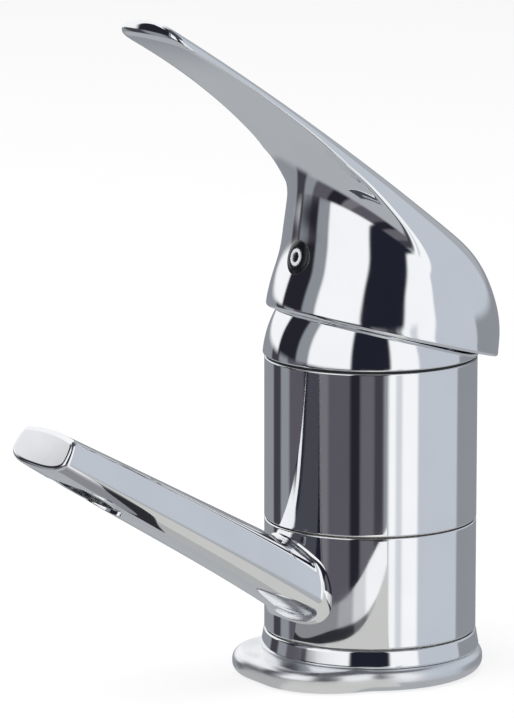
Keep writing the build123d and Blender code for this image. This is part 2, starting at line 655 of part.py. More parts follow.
screw_tip_y = -(SCREW_Z - PIVOT_Z) * tan(radians(STEM_LEAN))
screw_tip_y -= (STEM_HALF + 0.5) / cos(radians(STEM_LEAN))
screw_head_y = screw_tip_y - SCREW_LENGTH
screw = rod_along_y(SCREW_R, screw_head_y, screw_tip_y - 0.1, 0, SCREW_Z)
key_plane = Plane(origin=(0, screw_head_y, SCREW_Z), z_dir=(0, 1, 0))
screw -= extrude(key_plane * RegularPolygon(KEY_R, 6), amount=KEY_DEPTH)
save(screw, "handle_grub_screw")
plug = extrude(plug_plane.offset(-PLUG_DEPTH) * Circle(PLUG_R),
               amount=PLUG_DEPTH + PLUG_PROUD)
plug = chamfer(plug.edges().sort_by(Axis.Y)[0], PLUG_EDGE)
save(plug, "index_plug")
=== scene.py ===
import bpy
import numpy as np
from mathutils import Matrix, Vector


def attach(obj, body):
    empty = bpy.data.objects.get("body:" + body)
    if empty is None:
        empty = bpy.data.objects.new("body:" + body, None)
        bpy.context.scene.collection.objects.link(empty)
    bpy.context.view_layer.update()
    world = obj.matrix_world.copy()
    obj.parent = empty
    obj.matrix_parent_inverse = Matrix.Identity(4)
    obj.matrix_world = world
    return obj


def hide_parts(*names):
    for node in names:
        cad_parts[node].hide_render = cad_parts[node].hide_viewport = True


# Single-lever basin mixer with a low swivelling spout, chrome plated.
# The sizes are in millimetres and every mesh is written in metres, in the
# part's own frame: Z up, the deck at z = 0, spout and lever towards -Y.
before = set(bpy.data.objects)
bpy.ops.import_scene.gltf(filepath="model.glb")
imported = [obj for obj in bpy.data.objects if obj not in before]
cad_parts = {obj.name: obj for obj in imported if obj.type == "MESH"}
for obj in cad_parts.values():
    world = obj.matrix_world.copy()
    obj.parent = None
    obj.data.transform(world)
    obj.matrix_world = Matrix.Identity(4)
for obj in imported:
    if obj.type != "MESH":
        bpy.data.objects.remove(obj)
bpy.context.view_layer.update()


# Foot plate
# A cast zinc disc under the body, drawn forward to a soft rounded lobe, with a
# full round bead for its side.  It is ground, brushed and chrome plated.
PLATE_TOP_Z = 5.2
PLATE_R = 25.6
PLATE_HALF_WIDTH = 21.0
PLATE_FRONT = 31.6
PLATE_LOBE_LENGTH = 40.0
PLATE_CORNER_R = 17.5
PLATE_WAIST_BLEND = 1.5
PLATE_TOP_EDGE_R = 2.2
PLATE_BOTTOM_EDGE_R = 2.4
PLATE_TOP_SUPPORT = 0.15
PLATE_EDGE_ROWS = 13
PLATE_INSIDE = ((20.6, 5.2), (20.0, 5.2), (20.0, 3.9), (17.6, 3.9), (17.6, 0.0),
                (18.9, 0.0), (18.9, 1.9), (22.3, 1.9), (22.3, 0.0))
CREASE_DEG = 40.0
CHROME_TINTS = ("FAFBFC", "EFF1F4")
BRIGHT_ROUGHNESS = (0.03, 0.06)
SATIN_ROUGHNESS = (0.26, 0.34)
NOISE_LOW, NOISE_HIGH = 0.35, 0.65
TINT_PATCH_MM = 14.0
BUFFING_MM = 7.0
RIPPLE_MM = 6.0
RIPPLE_DEEP_MM = 0.006


def linear(hex_colour):
    """An sRGB hex colour as linear RGBA: ((c + 0.055) / 1.055) to the power 2.4."""
    c = np.array([int(hex_colour[i:i + 2], 16) for i in (0, 2, 4)]) / 255
    low = c / 12.92
    high = ((c + 0.055) / 1.055) ** 2.4
    return (*np.where(c <= 0.04045, low, high), 1.0)


def node(tree, kind, links=None, sockets=None, **settings):
    """A shader node with its settings, its socket values and the outputs that feed it."""
    made = tree.nodes.new(kind)
    for name, value in settings.items():
        setattr(made, name, value)
    for name, value in (sockets or {}).items():
        made.inputs[name].default_value = value
    for name, source in (links or {}).items():
        tree.links.new(source, made.inputs[name])
    return made


def blank_material(name):
    """A node material with only its output, and that output's surface socket."""
    material = bpy.data.materials.new(name)
    material.use_nodes = True
    material.node_tree.nodes.clear()
    out = node(material.node_tree, "ShaderNodeOutputMaterial")
    return material, material.node_tree, out.inputs["Surface"]


def chrome_plate(name, roughness):
    """Chromium over nickel on a polished or a brushed casting: a cool, nearly white
    mirror, sharp or soft by its roughness, with faint buffing haze in patches and the
    slight waviness of metal that was polished by hand."""
    material, tree, surface = blank_material(name)
    where = node(tree, "ShaderNodeTexCoord").outputs["Object"]
    patch = node(tree, "ShaderNodeTexNoise", {"Vector": where},
                 {"Scale": 1000 / TINT_PATCH_MM, "Detail": 2.0})
    tint = node(tree, "ShaderNodeMix", {0: patch.outputs["Fac"]},
                {6: linear(CHROME_TINTS[0]), 7: linear(CHROME_TINTS[1])}, data_type="RGBA")
    buffing = node(tree, "ShaderNodeTexNoise", {"Vector": where},
                   {"Scale": 1000 / BUFFING_MM, "Detail": 3.0})
    haze = node(tree, "ShaderNodeMapRange", {"Value": buffing.outputs["Fac"]},
                {"From Min": NOISE_LOW, "From Max": NOISE_HIGH,
                 "To Min": roughness[0], "To Max": roughness[1]})
    ripple = node(tree, "ShaderNodeTexNoise", {"Vector": where},
                  {"Scale": 1000 / RIPPLE_MM, "Detail": 1.0})
    wavy = node(tree, "ShaderNodeBump", {"Height": ripple.outputs["Fac"]},
                {"Strength": 0.5, "Distance": RIPPLE_DEEP_MM / 1000})
    shader = node(tree, "ShaderNodeBsdfPrincipled", {
        "Base Color": tint.outputs[2], "Roughness": haze.outputs["Result"],
        "Normal": wavy.outputs["Normal"]}, {"Metallic": 1.0})
    tree.links.new(shader.outputs["BSDF"], surface)
    return material


def place(name, mesh, material, body):
    """Puts a finished mesh in the scene, on its body and with its material."""
    mesh.materials.clear()
    mesh.materials.append(material)
    piece = bpy.data.objects.new(name, mesh)
    bpy.context.scene.collection.objects.link(piece)
    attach(piece, body)
    return piece


def skin(name, grid, material, body, first_pole=None, last_pole=None,
         sharp=CREASE_DEG):
    """A closed shell from a grid of points, rows by columns, in millimetres.  The
    columns run all the way round.  Each end closes on a pole where one is given, and
    with no poles the last row joins the first.  The sum of a . (b x c) over the faces,
    six times the volume inside, is made positive, so that they all point outwards."""
    rows, columns = grid.shape[:2]
    here = np.arange(rows * columns).reshape(rows, columns)
    ring = here if first_pole is not None else np.vstack([here, here[:1]])
    beside = np.roll(ring, -1, axis=1)
    quad = np.stack([ring[:-1], beside[:-1], beside[1:], ring[1:]], axis=-1).reshape(-1, 4)
    faces = quad.tolist()
    points = [grid.reshape(-1, 3)]
    for pole, edge, turn in ((first_pole, here[0], -1), (last_pole, here[-1], 1)):
        if pole is not None:
            tip = np.full(columns, sum(len(block) for block in points))
            points.append(np.reshape(pole, (1, 3)))
            faces += np.stack([tip, edge, np.roll(edge, -1)], -1)[:, [0, turn, -turn]].tolist()
    vertices = np.vstack(points) / 1000
    a, b, c, d = (vertices[quad[:, k]] for k in range(4))
    volume = np.sum(a * np.cross(b, c)) + np.sum(a * np.cross(c, d))
    if volume < 0:
        faces = [face[::-1] for face in faces]
    mesh = bpy.data.meshes.new(name)
    mesh.from_pydata(vertices.tolist(), [], faces)
    mesh.polygons.foreach_set("use_smooth", np.ones(len(faces), bool))
    mesh.set_sharp_from_angle(angle=np.radians(sharp))
    mesh.update()
    return place(name, mesh, material, body)


def soft_max(a, b, blend):
    """The larger of two distances, rounded over a band as wide as blend where they meet:
    b + (a - b) h + blend h (1 - h), with h = 0.5 + 0.5 (a - b) / blend held to 0..1."""
    h = np.clip(0.5 + 0.5 * (a - b) / blend, 0, 1)
    return b + (a - b) * h + blend * h * (1 - h)


def soft_min(a, b, blend):
    """The smaller of two distances with a rounded inner corner: -soft_max(-a, -b)."""
    return -soft_max(-a, -b, blend)


def reach(field, start, direction, step=0.7, rounds=90):
    """Walks out along each direction by step times the distance that the field still
    gives to the surface, so that every ray stops where the field is nought."""
    length = np.zeros(direction.shape[:-1])
    for _ in range(rounds):
        point = start + direction * length[..., None]
        length = length - step * field(point[..., 0], point[..., 1], point[..., 2])
    return start + direction * length[..., None]


def plate_outline(x, y, z):
    """Distance in plan to the foot's outline: sqrt(x^2 + y^2) - R for the disc, and for
    the rounded box that reaches forward the distance to the box less its corner
    radius, the two melted together at the waist."""
    disc = np.hypot(x, y) - PLATE_R
    half_length = PLATE_LOBE_LENGTH / 2
    box_x = np.abs(x) - (PLATE_HALF_WIDTH - PLATE_CORNER_R)
    box_y = np.abs(y + PLATE_FRONT - half_length) - (half_length - PLATE_CORNER_R)
    outside = np.hypot(np.maximum(box_x, 0), np.maximum(box_y, 0))
    box = outside + np.minimum(np.maximum(box_x, box_y), 0) - PLATE_CORNER_R
    return soft_min(disc, box, PLATE_WAIST_BLEND)


def foot_plate_points(columns=480):
    """Rows run up round the bead of the side and over the flat top.  A row is the
    outline, drawn in by R (1 - sin t) below and R (1 - cos t) above, then the circles of
    the pocket, the column's hole and the gasket's groove."""
    angle = np.linspace(0, 2 * np.pi, columns, endpoint=False)
    ray = np.stack([np.cos(angle), np.sin(angle), 0 * angle], -1)
    outline = reach(plate_outline, np.zeros(3), ray)
    radius = np.hypot(outline[:, 0], outline[:, 1])
    turn = np.linspace(0, np.pi / 2, PLATE_EDGE_ROWS)
    inset = np.concatenate([PLATE_BOTTOM_EDGE_R * (1 - np.sin(turn)),
                            PLATE_TOP_EDGE_R * (1 - np.cos(turn)),
                            [PLATE_TOP_EDGE_R + PLATE_TOP_SUPPORT]])
    height = np.concatenate([PLATE_BOTTOM_EDGE_R * (1 - np.cos(turn)),
                             PLATE_TOP_Z - PLATE_TOP_EDGE_R * (1 - np.sin(turn)),
                             [PLATE_TOP_Z]])
    inside = np.array(PLATE_INSIDE)
    rho = np.vstack([radius[None, :] - inset[:, None],
                     np.repeat(inside[:, :1], columns, axis=1)])
    level = np.concatenate([height, inside[:, 1]])
    return np.stack([rho * np.cos(angle), rho * np.sin(angle),
                     np.repeat(level[:, None], columns, axis=1)], -1)


chrome = chrome_plate("bright_chrome_plate", BRIGHT_ROUGHNESS)
satin_chrome = chrome_plate("satin_chrome_plate", SATIN_ROUGHNESS)
foot = skin("foot_plate_casting", foot_plate_points(), satin_chrome, "base")
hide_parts("base_plate")


# Base ring
# A turned brass ring, chrome plated, that sits on the foot plate and carries
# the turning collar.  It widens a little downwards, with broken corners.
RING_Z = (5.2, 9.2)
RING_R = (24.8, 24.1)
RING_EDGE_R = (0.45, 0.5)
RING_BORE_R = 17.55
SEGMENTS = 288
LEAST_CORNER_R = 0.02
LEAST_ARC_R = 0.05
ARC_POINTS = 8


def rounded_profile(corners, support=0.3):
    """A closed profile of (radius, height, corner radius) corners.  Each corner becomes an
    arc tangent to both sides: it starts and ends at r / tan(half the inner angle) from the
    corner.  Long sides get a point near each end, so that they shade flat."""
    corner = np.array(corners, float)
    points = []
    for k, (here, r) in enumerate(zip(corner[:, :2], np.maximum(corner[:, 2], LEAST_CORNER_R))):
        back = corner[k - 1, :2] - here
        ahead = corner[(k + 1) % len(corner), :2] - here
        back_len, ahead_len = np.hypot(*back), np.hypot(*ahead)
        back, ahead = back / back_len, ahead / ahead_len
        half = np.arccos(np.clip(back @ ahead, -1, 1)) / 2
        cut = r / np.tan(half)
        middle = here + (back + ahead) / np.hypot(*(back + ahead)) * r / np.sin(half)
        first = np.arctan2(*(here + back * cut - middle)[::-1])
        last = np.arctan2(*(here + ahead * cut - middle)[::-1])
        sweep = (last - first + np.pi) % (2 * np.pi) - np.pi
        turn = first + sweep * np.linspace(0, 1, ARC_POINTS if r > LEAST_ARC_R else 2)
        arc = middle + r * np.stack([np.cos(turn), np.sin(turn)], -1)
        before = [here + back * (cut + support)] if back_len > 2 * (cut + support) else []
        after = [here + ahead * (cut + support)] if ahead_len > 2 * (cut + support) else []
        points += before + list(arc) + after
    return np.array(points)


def turned(name, profile, material, body):
    """A closed profile of (radius, height) points, spun round the Z axis."""
    angle = np.linspace(0, 2 * np.pi, SEGMENTS, endpoint=False)
    r = profile[:, :1]
    grid = np.stack([r * np.cos(angle), r * np.sin(angle),
                     np.repeat(profile[:, 1:], SEGMENTS, axis=1)], -1)
    return skin(name, grid, material, body)


ring = turned("turned_base_ring", rounded_profile([
    (RING_BORE_R, RING_Z[0], 0), (RING_R[0], RING_Z[0], RING_EDGE_R[0]),
    (RING_R[1], RING_Z[1], RING_EDGE_R[1]), (RING_BORE_R, RING_Z[1], 0)]),
    chrome, "base")
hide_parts("base_ring")


# Collar
# The lower half of the body that turns with the spout: a brass casting, bored
# to run on the column and turned true outside, with a hairline joint above it.
BODY_R = 24.0
COLLAR_Z = (9.5, 34.85)
COLLAR_BORE_R = 17.9
GLIDE_SEAT_R = 22.7
GLIDE_SEAT_Z = (10.0, 34.4)
SEAM_EDGE_R = 0.35

collar = turned("turning_collar", rounded_profile([
    (COLLAR_BORE_R, GLIDE_SEAT_Z[0], 0), (GLIDE_SEAT_R, GLIDE_SEAT_Z[0], 0),
    (GLIDE_SEAT_R, COLLAR_Z[0], 0), (BODY_R, COLLAR_Z[0], SEAM_EDGE_R),
    (BODY_R, COLLAR_Z[1], SEAM_EDGE_R), (GLIDE_SEAT_R, COLLAR_Z[1], 0),
    (GLIDE_SEAT_R, GLIDE_SEAT_Z[1], 0), (COLLAR_BORE_R, GLIDE_SEAT_Z[1], 0)]),
    chrome, "spout_arm")


# Spout
# One casting with the collar: a tapered arm with a crowned top, crisp top
# edges and a full round underside, polished and chrome plated.  The mouth
# near its end is bored square to the underside for the aerator.
SPOUT_Y = (-14.0, -92.0)
SPOUT_HALF_WIDTH = (12.87, 11.4)
SPOUT_BOTTOM_Z = (8.35, 58.7)
SPOUT_WIDE_Z = (17.7, 62.9)
SPOUT_TOP_Z = (27.0, 68.6)
SPOUT_CROWN = (1.0, 3.1)
SPOUT_ARCH = (9.0, 0.9)
SPOUT_END_Y = -86.0
SPOUT_END_RISE = 5.0
SPOUT_EDGE_INSET = 1.2
SPOUT_EDGE_BLEND = 1.0
UNDERSIDE_POWER = 2.8
SECTION_MIDDLE = 2.0
SECTION_RAYS = (12, 6)
ROOT_FILLET = 1.6
ROOT_SINK = 0.05
ROOT_R = BODY_R - ROOT_SINK
ROOT_START_Y = -22.0
ROOT_SHRINK = (0.9, 0.9, 0.93)
ROOT_LIFT = 1.6
END_EDGE_R = 0.9
END_RINGS = (0.98, 0.94, 0.85, 0.7, 0.5, 0.3, 0.1)
ARM_ROWS = 150
BEND_ROWS = 10
CLOSING_ROUNDS = 16
MOUTH_Y = -75.2
MOUTH_R = 9.25
MOUTH_FROM, MOUTH_MIDDLE, MOUTH_DEPTH = -6.0, 0.5, 8.0
SPOUT_RISE = (SPOUT_BOTTOM_Z[1] - SPOUT_BOTTOM_Z[0]) / (SPOUT_Y[0] - SPOUT_Y[1])
UNDER_Y = -1.0 / np.hypot(1.0, SPOUT_RISE)
UNDER_Z = SPOUT_RISE / np.hypot(1.0, SPOUT_RISE)


def along_spout(pair, share):
    """A size between its values at the two ends of the arm."""
    return pair[0] + (pair[1] - pair[0]) * share


def spout_field(x, y, z):
    """Distance in an upright section of the arm.  The top is an arc over the edges, whose
    rise falls off as the cube of what is left of the arm.  The sides lean in above the
    widest height, and below it the section is (x / w)^p + (depth / d)^p = 1.  The
    underside arches by a t (b - t)^2, t being the share of the arm's length."""
    t = (y - SPOUT_Y[0]) / (SPOUT_Y[1] - SPOUT_Y[0])
    half, wide = along_spout(SPOUT_HALF_WIDTH, t), along_spout(SPOUT_WIDE_Z, t)
    top = along_spout(SPOUT_TOP_Z, t)
    rise = SPOUT_CROWN[0] + SPOUT_CROWN[1] * (1 - t) ** 3
    arch = SPOUT_ARCH[0] * t * np.maximum(SPOUT_ARCH[1] - t, 0) ** 2
    low = along_spout(SPOUT_BOTTOM_Z, t) + arch
    inner = half - SPOUT_EDGE_INSET
    arc_r = (inner ** 2 + rise ** 2) / (2 * rise)
    over = np.hypot(x, z - (top - arc_r)) - arc_r
    lean = np.maximum(z - wide, 0) / (top - rise - wide)
    side = np.abs(x) - half + SPOUT_EDGE_INSET * lean ** 2
    depth = np.maximum(wide - z, 0) / (wide - low)
    bowl = (np.abs(x / half) ** UNDERSIDE_POWER + depth ** UNDERSIDE_POWER)
    below = (bowl ** (1 / UNDERSIDE_POWER) - 1) * np.minimum(half, wide - low)
    return soft_max(over, np.where(z > wide, side, below), SPOUT_EDGE_BLEND)


def section_points(y, angle):
    """Points where rays leave the arm, in upright planes at y.  A ray's direction is
    (a cos t, b sin t), from a middle point a little over the widest height."""
    t = (y - SPOUT_Y[0]) / (SPOUT_Y[1] - SPOUT_Y[0])
    start = np.stack([0 * y, y, along_spout(SPOUT_WIDE_Z, t) + SECTION_MIDDLE], -1)
    ray = np.stack([SECTION_RAYS[0] * np.cos(angle), 0 * angle,
                    SECTION_RAYS[1] * np.sin(angle)], -1)
    ray = ray / np.linalg.norm(ray, axis=-1, keepdims=True)
    return reach(spout_field, start, np.broadcast_to(ray, start.shape), step=0.6, rounds=70)


def spout_arm_points(columns=256):
    """Rows run from the collar's wall out to the end.  The first rows flare by the
    fillet's circle, R - sqrt(R^2 - (R - d)^2) at a distance d from the wall, and keep
    that distance from the wall's circle.  The last ones are drawn in by the same rule
    and slide along the slanted end plane, so the end face is flat."""
    angle = np.linspace(0, 2 * np.pi, columns, endpoint=False)
    wall_y = np.full(columns, ROOT_START_Y)
    end_y = np.full(columns, SPOUT_END_Y)
    end_z = SPOUT_BOTTOM_Z[0] + SPOUT_RISE * (SPOUT_Y[0] - SPOUT_END_Y) + SPOUT_END_RISE
    for _ in range(CLOSING_ROUNDS):
        wall_y = -np.sqrt(ROOT_R ** 2 - section_points(wall_y, angle)[:, 0] ** 2)
        last_z = section_points(end_y, angle)[:, 2]
        end_y = SPOUT_END_Y - (last_z - end_z) * UNDER_Z / UNDER_Y
    bend = np.linspace(0, np.pi / 2, BEND_ROWS)
    near = ROOT_FILLET * (1 - np.cos(bend))
    last = END_EDGE_R * (1 - np.sin(bend))
    length = (wall_y - end_y)[None, :]
    share = np.linspace(0, 1, ARM_ROWS)[1:-1, None]
    run = length - ROOT_FILLET - END_EDGE_R
    travel = np.vstack([near[:, None] + 0 * length, ROOT_FILLET + run * share,
                        length - last[:, None]])
    y = wall_y - travel
    points = section_points(y, np.broadcast_to(angle, y.shape))
    tangent = np.roll(points, -1, axis=1) - np.roll(points, 1, axis=1)
    normal = np.stack([tangent[..., 2], 0 * tangent[..., 0], -tangent[..., 0]], -1)
    normal = normal / np.linalg.norm(normal, axis=-1, keepdims=True)
    to_wall = np.clip(ROOT_FILLET - travel, 0, ROOT_FILLET)
    flare = ROOT_FILLET - np.sqrt(ROOT_FILLET ** 2 - to_wall ** 2)
    to_end = np.clip(END_EDGE_R - (length - travel), 0, END_EDGE_R)
    draw_in = END_EDGE_R - np.sqrt(END_EDGE_R ** 2 - to_end ** 2)
    points = points + normal * (flare - draw_in)[..., None]
    to_circle = -np.sqrt(ROOT_R ** 2 - points[..., 0] ** 2) - wall_y
    slide = draw_in * normal[..., 2] * UNDER_Z / UNDER_Y
    points[..., 1] += np.where(flare > 0, to_circle, 0) + slide
    centre = points[-1].mean(axis=0)
    inner = np.array(END_RINGS)[:, None, None]
    face = centre + (points[-1] - centre) * inner
    root = points[:1] * np.array(ROOT_SHRINK) + np.array([0, 0, ROOT_LIFT])
    return np.concatenate([root, points, face]), root[0].mean(axis=0), centre


def mouth_cutter_points():
    """The bore of the aerator mouth: a round bar square to the underside, in circles
    R (cos t, sin t) at three depths along its axis."""
    mouth_z = SPOUT_BOTTOM_Z[0] + SPOUT_RISE * (SPOUT_Y[0] - MOUTH_Y)
    inward = np.array([0.0, UNDER_Z, -UNDER_Y])
    cross = np.array([1.0, 0, 0])
    angle = np.linspace(0, 2 * np.pi, 160, endpoint=False)[:, None]
    circle = MOUTH_R * (np.cos(angle) * cross + np.sin(angle) * np.cross(inward, cross))
    depth = np.array([[MOUTH_FROM], [MOUTH_MIDDLE], [MOUTH_DEPTH]])
    level = np.array([0, MOUTH_Y, mouth_z]) + inward * depth
    return level[:, None, :] + circle, level[0], level[-1]


arm_grid, arm_root, arm_end = spout_arm_points()
arm = skin("spout_arm_casting", arm_grid, chrome, "spout_arm", arm_root, arm_end)
cut_grid, cut_first, cut_last = mouth_cutter_points()
cutter = skin("mouth_cutter", cut_grid, chrome, "spout_arm", cut_first, cut_last)
bore = arm.modifiers.new("mouth", "BOOLEAN")
bore.object = cutter
bore.solver = "EXACT"
view_layer = bpy.context.evaluated_depsgraph_get()
arm.data = bpy.data.meshes.new_from_object(arm.evaluated_get(view_layer))
arm.data.name = "spout_arm_casting"
arm.modifiers.clear()
arm.data.set_sharp_from_angle(angle=np.radians(CREASE_DEG))
bpy.data.objects.remove(cutter)
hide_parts("spout")
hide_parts("spout")


# Body sleeve
# The chrome plated outside of the brass valve body above the collar, turned
# true, with broken edges at the two hairline joints.
SLEEVE_Z = (35.15, 72.0)
SLEEVE_R = (23.5, 24.02)

sleeve = turned("body_sleeve", rounded_profile([
    (SLEEVE_R[0], SLEEVE_Z[0], 0), (SLEEVE_R[1], SLEEVE_Z[0], SEAM_EDGE_R),
    (SLEEVE_R[1], SLEEVE_Z[1], SEAM_EDGE_R), (SLEEVE_R[0], SLEEVE_Z[1], 0)]),
    chrome, "base")


# Dome cap
# A spun brass cap, chrome plated, that snaps over the cartridge nut.  Its
# outside is part of a ball round the lever's pivot, so the lever clears it.
PIVOT_Z = 70.6
CAP_SPHERE_R = 24.5
CAP_INNER_R = 22.5
CAP_Z = (72.6, 86.4)
CAP_OPENING_R = 13.5
CAP_LIP_R = 20.5
CAP_LIP_UP = (4.9, 5.0)
CAP_WALL = 1.8
CAP_CORNER = 0.2
CAP_EDGE = (0.5, 0.08)
CAP_BALL_MARGIN = 0.25
CAP_ROWS = (60, 24)


def ball_points(ball, z):
    """Radius and height of level circles on a ball round the pivot, the radius being
    sqrt(R^2 - (z - pivot)^2)."""
    return np.stack([np.sqrt(ball ** 2 - (z - PIVOT_Z) ** 2), z], -1)


cap_outside = ball_points(CAP_SPHERE_R, np.linspace(
    CAP_Z[0] + CAP_BALL_MARGIN, CAP_Z[1] - CAP_BALL_MARGIN, CAP_ROWS[0]))
cap_inside = ball_points(CAP_INNER_R, np.linspace(
    CAP_Z[1] - CAP_WALL, CAP_Z[0] + CAP_LIP_UP[1], CAP_ROWS[1]))
cap_profile = np.concatenate([
    [[CAP_LIP_R, CAP_Z[0]], [CAP_SPHERE_R - CAP_EDGE[0], CAP_Z[0]],
     [CAP_SPHERE_R - CAP_CORNER, CAP_Z[0] + CAP_EDGE[1]]],
    cap_outside,
    [[cap_outside[-1, 0] - CAP_CORNER, CAP_Z[1]], [CAP_OPENING_R + CAP_CORNER, CAP_Z[1]],
     [CAP_OPENING_R, CAP_Z[1] - CAP_CORNER], [CAP_OPENING_R, CAP_Z[1] - CAP_WALL]],
    cap_inside,
    [[CAP_LIP_R, CAP_Z[0] + CAP_LIP_UP[0]]]])
cap = turned("spun_dome_cap", cap_profile, chrome, "base")
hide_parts("dome_cap")


# Lever handle
# One zinc die casting, polished and chrome plated: a slanted round skirt over
# the cap that closes in upwards and runs out forward into a thin blade with a
# crowned top, soft edges, a coved underside and a blunt tip.
SLANT = 0.275
SLANT_Z = 78.05
N_Y = SLANT / np.hypot(1.0, SLANT)
N_Z = 1.0 / np.hypot(1.0, SLANT)
SKIRT_R = (21.6, 4.85, 18.5)
SKIRT_SHIFT = (3.55, -0.20, -0.0016)
SKIRT_HUMP = (0.9, 12.0, 6.0)
RIM_STRETCH = (0.53, 0.02, 5.0)
BACK_Y = 29.1
BACK_BLEND = 0.6
BLADE_BACK_Y = 3.0
BLADE_HALF = 17.3
BLADE_TAPER = 0.075
BLADE_ROOT = (4.6, 12.0)
TIP_Y = -59.8
TIP_BEND = 0.008
TIP_BLEND = 3.6
WALL_DRAFT = 0.16
DRAFT_DEPTH = 3.4
TOP = (112.6, -0.730, -0.0011)
CROWN = (0.0150, 0.00009)
RIM_Y = 4.4
ROLL_START = 12.0
ROLL_R = 25.0
ROLL_DROP = 8.0
ROLL_MAX = 27.0
ROLL_NARROWING = 0.0135
ROLL_LEAST_HALF = 8.0
ROLL_Y = (-24.0, 0.0)
EDGE_DROP = 0.9
EDGE_DROP_MAX = 6.0
EDGE_HALF = (18.8, 0.105)
SLOPE_STEP = 0.05
UNDER = (102.43, -1.0052, -0.00405)
UNDER_DROP = (1.0, -18.0, 4.0)
COVE_BLEND = 6.0
EDGE_BLEND = 1.7
UNDER_EDGE_BLEND = 1.5


def top_height(x, y):
    """Height of the top: a nearly straight middle line a + b y + c y^2, less the crown
    across (a + b y) x^2, less the roll-over at the rim, which grows with the fourth power
    of the distance past where it starts and runs straight on from its limit, less a small
    droop with the sixth power of x at the edges of the blade.  A smooth step along the
    blade leads from the droop to the roll-over."""
    middle = TOP[0] + TOP[1] * y + TOP[2] * y * y
    crown = (CROWN[0] + CROWN[1] * y) * x * x
    share = np.clip((y - ROLL_Y[0]) / (ROLL_Y[1] - ROLL_Y[0]), 0, 1)
    share = share * share * (3 - 2 * share)
    half = np.maximum(ROLL_R - ROLL_NARROWING * np.minimum(y - RIM_Y, 0) ** 2,
                      ROLL_LEAST_HALF)
    rho = np.where(y > RIM_Y, np.hypot(x, y - RIM_Y), np.abs(x) * ROLL_R / half)
    past = np.maximum(np.minimum(rho, ROLL_MAX) - ROLL_START, 0) / (ROLL_R - ROLL_START)
    steep = 4 * ROLL_DROP * past ** 3 / (ROLL_R - ROLL_START)
    roll = ROLL_DROP * past ** 4 + steep * np.maximum(rho - ROLL_MAX, 0)
    droop = np.minimum(EDGE_DROP * (x / (EDGE_HALF[0] + EDGE_HALF[1] * y)) ** 6,
                       EDGE_DROP_MAX)
    return middle - crown - roll * share - droop * (1 - share)


def handle_field(x, y, z):
    """Distance to the handle's outside, which is the skirt and the blade, melted together
    over a coved corner and cut by the top with a rounded edge.

    The skirt has the radius a + b / (1 + (h / c)^3) at a height h over the rim.  Its axis
    shifts back by a + b h + c h^2 and by a hump a exp(-((h - b) / c)^2), its section is
    drawn out a little near the rim, by 1 / (1 + (h / c)^2), and its back stops at a plane.
    The blade's plan is a taper that widens to the root by a / (1 + (d / b)^2), with a
    bowed tip, and its walls lean in upwards by the draft.  Its underside a + b y + c y^2
    drops by a exp((y - b) / c) towards the skirt.  Heights are scaled to distances by the
    slope of their surface."""
    up = (z - SLANT_Z) * N_Z + y * N_Y
    along = y * N_Z - (z - SLANT_Z) * N_Y
    skirt_r = SKIRT_R[0] + SKIRT_R[1] / (1 + np.maximum(up / SKIRT_R[2], -0.5) ** 3)
    shift = SKIRT_SHIFT[0] + SKIRT_SHIFT[1] * up + SKIRT_SHIFT[2] * up * up
    near_rim = 1 / (1 + (up / RIM_STRETCH[2]) ** 2)
    hump = SKIRT_HUMP[0] * np.exp(-((up - SKIRT_HUMP[1]) / SKIRT_HUMP[2]) ** 2)
    from_axis = along - shift - hump + RIM_STRETCH[0] * near_rim
    skirt = np.hypot(x, from_axis / (1 + RIM_STRETCH[1] * near_rim)) - skirt_r
    skirt = soft_max(skirt, y - BACK_Y, BACK_BLEND)
    past = (BLADE_BACK_Y - y) / BLADE_ROOT[1]
    side = np.abs(x) - (BLADE_HALF + BLADE_TAPER * y + BLADE_ROOT[0] / (1 + past ** 2))
    tip = TIP_Y + TIP_BEND * x * x - y
    draft = WALL_DRAFT * (z - top_height(0 * x, y) + DRAFT_DEPTH)
    plan = np.maximum(soft_max(side, tip, TIP_BLEND) + draft, y - BLADE_BACK_Y)
    slope = UNDER[1] + 2 * UNDER[2] * y
    drop = UNDER_DROP[0] * np.exp(np.minimum(y - UNDER_DROP[1], 0) / UNDER_DROP[2])
    under = (UNDER[0] + UNDER[1] * y + UNDER[2] * y * y - drop - z) / np.hypot(1, slope)
    blade = soft_max(plan, under, UNDER_EDGE_BLEND)
    top = top_height(x, y)
    run_x = (top_height(x + SLOPE_STEP, y) - top) / SLOPE_STEP
    run_y = (top_height(x, y + SLOPE_STEP) - top) / SLOPE_STEP
    above = (z - top) / np.sqrt(1 + run_x ** 2 + run_y ** 2)
    return soft_max(soft_min(skirt, blade, COVE_BLEND), above, EDGE_BLEND)


FAN_Y = -47.0
FAN_Z = SLANT_Z - SLANT * FAN_Y
FAN_TURN = (-np.arctan(SLANT), np.radians(55.0))
FAN_REACH = (42.5, 10.1)
FAN_ROWS = 150
FAN_MARGIN = 0.032
RAYS_AT_RIM = 26.0
RAYS_LOW = (2.2, 23.8)
RAYS_WIDE = 13.0
BLADE_ROWS = 80
TIP_FAN_Y = -55.2
TIP_ROWS = 42
TIP_RAYS = (12.0, 1.7, 4.2)
RIM_MIDDLE_Y = 3.4
RIM_UP = 0.7
RIM_ROWS = 12
HOLLOW_R = 25.1
HOLLOW_SHIFT = 3.37
HOLLOW_HEIGHT = 18.0
HOLLOW_ROWS = 20


